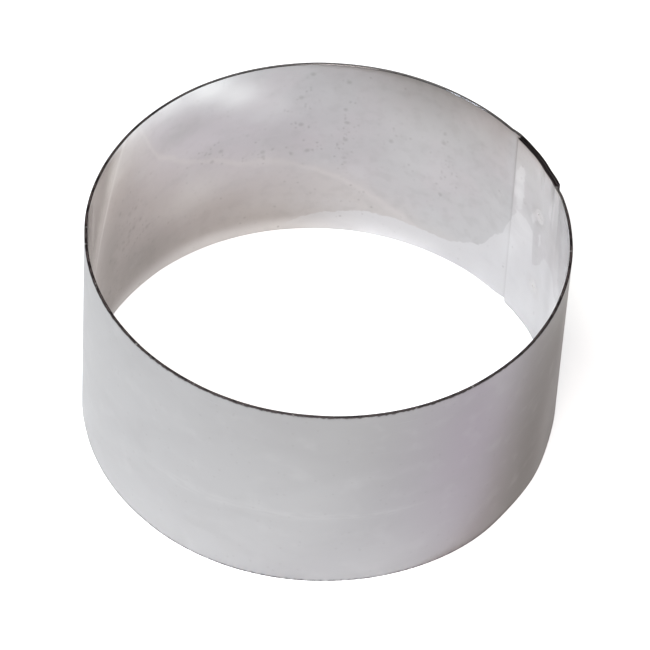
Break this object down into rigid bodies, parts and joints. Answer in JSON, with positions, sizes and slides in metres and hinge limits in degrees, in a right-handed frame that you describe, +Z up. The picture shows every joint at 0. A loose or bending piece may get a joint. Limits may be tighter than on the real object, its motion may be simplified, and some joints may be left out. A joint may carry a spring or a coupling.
{
  "type": "tart ring",
  "caption": "Bottomless ring of thin stainless steel strip with a spot-welded lap seam, for shaping tarts, pastry and set desserts on a tray.",
  "frame": {"origin": "on the ring's axis, at the level of its bottom edge", "axes": "+Z up along the ring's axis; the picture looks along +Y and down, with +X to its right; the lap seam lies between 21 and 39 degrees anticlockwise from +X"},
  "size_m": [0.09, 0.09, 0.045],
  "materials": {
    "stainless_sheet": "bright rolled sheet with a fine grain, light scuffs and dull cut edges",
    "weld_metal": "dull, pressed by the electrode"
  },
  "bodies": {
    "root": {"band": "stainless_sheet", "spot_weld_1": "weld_metal", "spot_weld_2": "weld_metal"}
  },
  "joints": []
}
